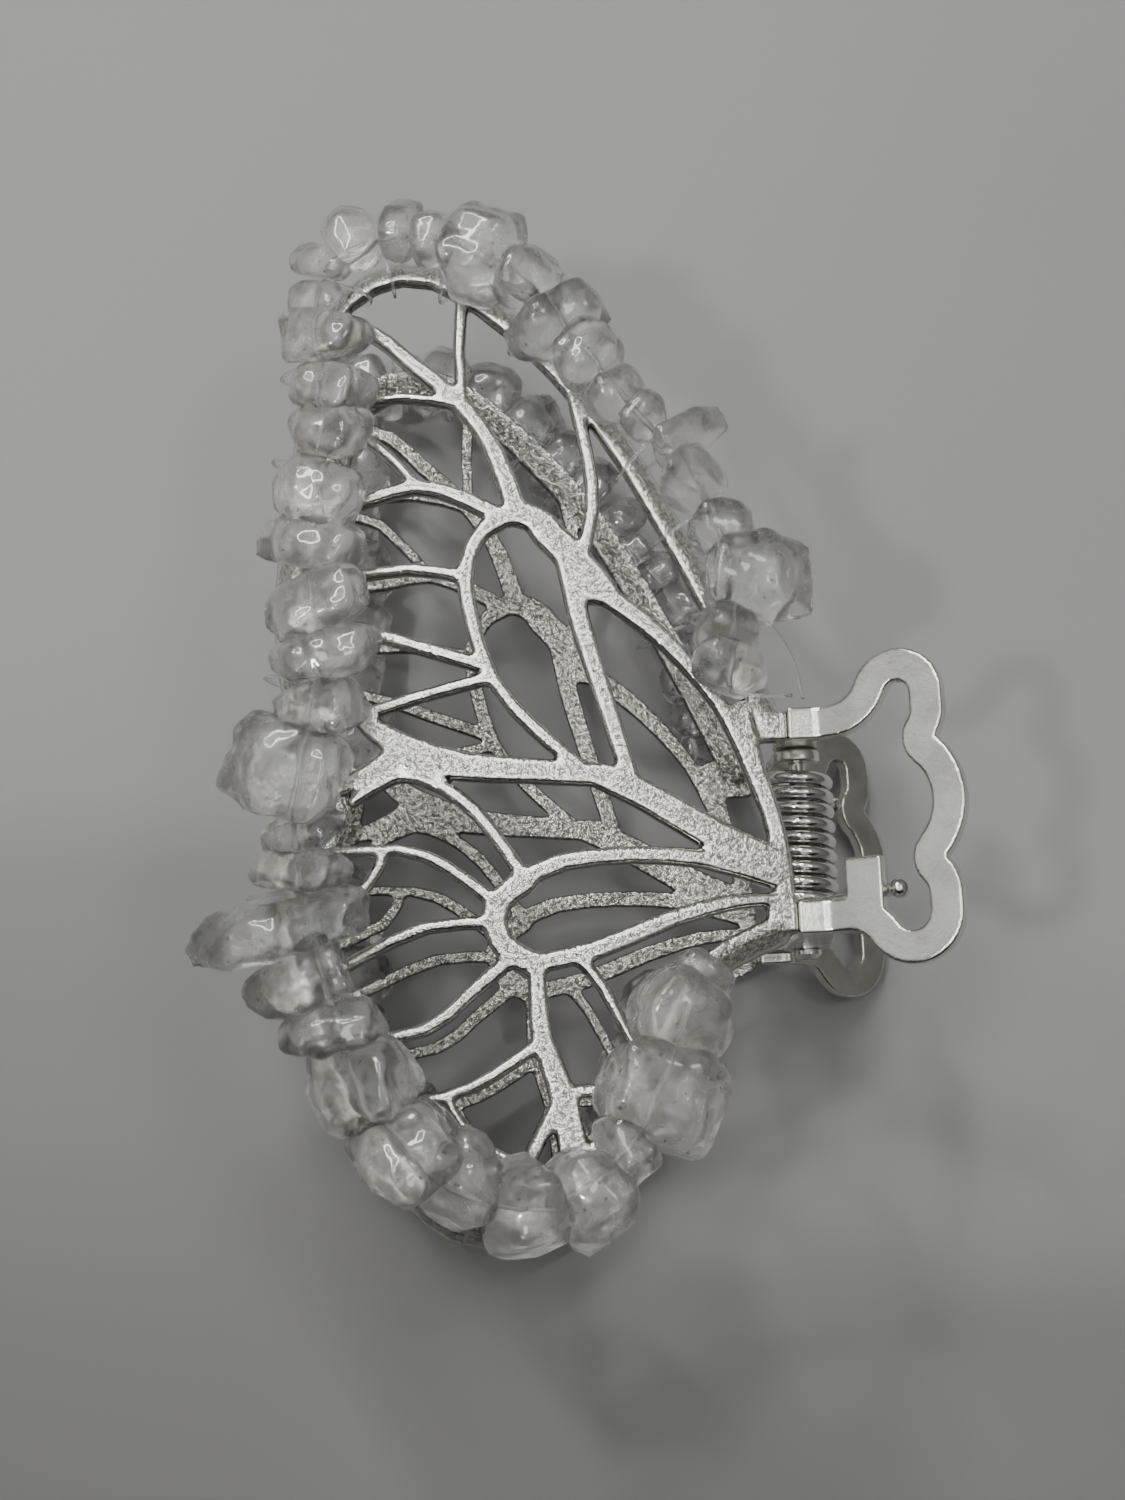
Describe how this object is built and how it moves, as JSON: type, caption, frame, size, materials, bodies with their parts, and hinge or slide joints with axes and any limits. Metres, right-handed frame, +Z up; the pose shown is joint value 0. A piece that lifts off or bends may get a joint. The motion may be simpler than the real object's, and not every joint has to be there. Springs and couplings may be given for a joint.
{
  "type": "hair clip",
  "caption": "Spring hair claw with two openwork butterfly-wing jaws edged in threaded quartz chips, hinged on a pin with lobed finger loops.",
  "frame": {"origin": "middle of the clip's box in plan, on the surface that the closed clip lies on", "axes": "+X from the wings towards the finger loops, +Y along the hinge towards the forewing tips, +Z up from the back jaw to the front jaw"},
  "size_m": [0.0646, 0.0902, 0.0415],
  "materials": {
    "cast_silver": "bright silver plate on a sand-textured casting, polished edges",
    "satin_silver": "bright silver plate, brushed faces and polished edges",
    "pin_steel": "polished",
    "spring_steel": "bright drawn wire",
    "nylon": "clear monofilament",
    "quartz_clear": "tumbled, mostly clear, with small inclusions",
    "quartz_milky": "tumbled, milky",
    "quartz_rose": "tumbled, cloudy with a faint pink-brown tint"
  },
  "bodies": {
    "back_jaw": {"back_wing": "cast_silver", "back_finger_loop": "satin_silver", "hinge_pin": "pin_steel", "torsion_spring": "spring_steel", "back_nylon_line": "nylon", "back_chips_shoulder": "quartz_clear", "back_chips_leading_low": "quartz_milky", "back_chips_leading_high": "quartz_clear", "back_chips_apex": "quartz_milky", "back_chips_outer_high": "quartz_rose", "back_chips_outer_low": "quartz_milky", "back_chips_notch": "quartz_clear", "back_chips_hind_side": "quartz_clear", "back_chips_tail": "quartz_milky", "back_chips_hind_inner": "quartz_rose"},
    "front_jaw": {"front_wing": "cast_silver", "front_finger_loop": "satin_silver", "front_nylon_line": "nylon", "front_chips_shoulder": "quartz_clear", "front_chips_leading_low": "quartz_milky", "front_chips_leading_high": "quartz_clear", "front_chips_apex": "quartz_milky", "front_chips_outer_high": "quartz_rose", "front_chips_outer_low": "quartz_milky", "front_chips_notch": "quartz_clear", "front_chips_hind_side": "quartz_clear", "front_chips_tail": "quartz_milky", "front_chips_hind_inner": "quartz_rose"}
  },
  "joints": [
    {"name": "jaw_hinge", "type": "hinge", "parent": "back_jaw", "child": "front_jaw", "pos_m": [0.02113, -0.0106, 0.02067], "axis": [0, 1, 0], "range_deg": [0, 70], "stiffness_Nm_per_rad": 0.05, "springref_deg": -51.57, "deforming": ["torsion_spring"]}
  ]
}
